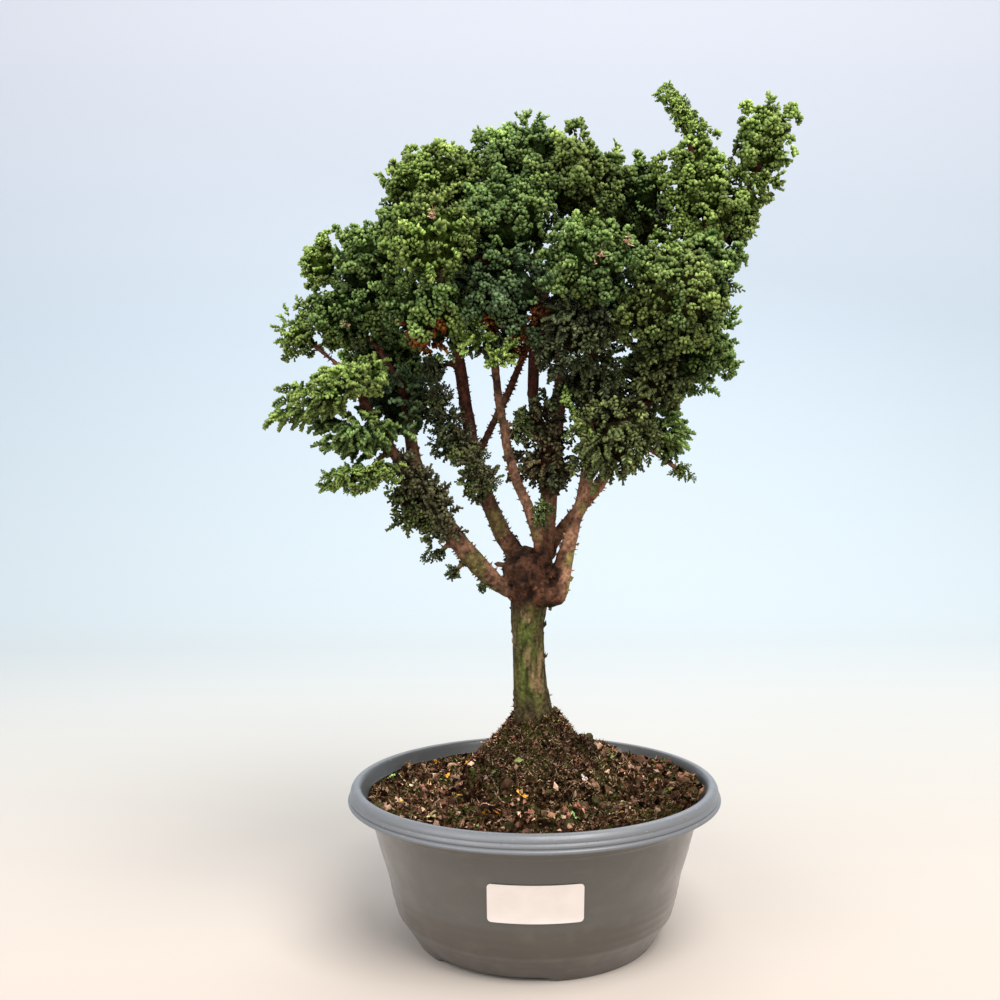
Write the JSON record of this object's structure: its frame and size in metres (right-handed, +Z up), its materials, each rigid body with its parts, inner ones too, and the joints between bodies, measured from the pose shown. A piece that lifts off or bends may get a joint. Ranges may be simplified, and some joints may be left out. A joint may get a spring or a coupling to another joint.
{
  "type": "hinoki cypress bonsai",
  "caption": "Small hinoki cypress bonsai with a bare forked trunk, dense nubby green crown and two raised spires, standing in a round grey plastic pot of soil.",
  "frame": {"origin": "at the bottom of the pot's feet and the bottom centre of the bounding box, midway between the tree's left and right ends; the pot's vertical axis stands at x = -0.006, y = 0", "axes": "+Z up along the pot's axis; -Y towards the front, the side with the label; +X to the right of someone facing the front, where the two spires rise"},
  "size_m": [0.2823, 0.2, 0.4565],
  "materials": {
    "pot": "satin",
    "label": "matte",
    "soil": "matte",
    "wood": "matte",
    "foliage_bright": "matte",
    "foliage_green": "matte",
    "foliage_olive": "matte",
    "foliage_dark": "matte",
    "foliage_brown": "matte"
  },
  "bodies": {
    "root": {"foliage_back_centre": "foliage_dark", "foliage_back_left": "foliage_green", "foliage_back_left_low": "foliage_green", "foliage_back_left_top": "foliage_olive", "foliage_back_mid": "foliage_dark", "foliage_back_right": "foliage_green", "foliage_back_right_bottom": "foliage_olive", "foliage_back_right_low": "foliage_green", "foliage_back_right_top": "foliage_olive", "foliage_back_top": "foliage_green", "foliage_centre_front": "foliage_dark", "foliage_centre_left": "foliage_green", "foliage_centre_low": "foliage_dark", "foliage_centre_top_front": "foliage_green", "foliage_crown_low_tuft": "foliage_dark", "foliage_left_bright": "foliage_bright", "foliage_left_frond": "foliage_bright", "foliage_left_frond_low": "foliage_green", "foliage_left_inner": "foliage_dark", "foliage_left_low_spray": "foliage_bright", "foliage_left_mid": "foliage_green", "foliage_left_mid_tip": "foliage_bright", "foliage_left_upper": "foliage_green", "foliage_left_upper_tip": "foliage_bright", "foliage_limb_centre_base": "foliage_green", "foliage_limb_centre_brown": "foliage_brown", "foliage_limb_centre_sprig": "foliage_green", "foliage_limb_left_hanging": "foliage_olive", "foliage_limb_mid_hanging": "foliage_olive", "foliage_limb_mid_sprig": "foliage_dark", "foliage_limb_mid_upper": "foliage_dark", "foliage_low_sprig_left": "foliage_dark", "foliage_low_sprig_mid": "foliage_dark", "foliage_low_sprig_right": "foliage_dark", "foliage_mid_front": "foliage_green", "foliage_mid_front_low": "foliage_dark", "foliage_mid_right_low": "foliage_dark", "foliage_right_dome": "foliage_olive", "foliage_right_far_sprig": "foliage_bright", "foliage_right_flank": "foliage_green", "foliage_right_hanging": "foliage_olive", "foliage_right_low_tip": "foliage_green", "foliage_right_shoulder": "foliage_green", "foliage_right_under": "foliage_olive", "foliage_saddle": "foliage_green", "foliage_spire_left": "foliage_bright", "foliage_spire_left_tip": "foliage_bright", "foliage_spire_right": "foliage_bright", "foliage_spire_right_tip": "foliage_bright", "foliage_top_centre": "foliage_green", "foliage_top_left": "foliage_bright", "foliage_top_right": "foliage_olive", "label": "label", "pot": "pot", "soil": "soil", "wood": "wood"}
  },
  "joints": []
}
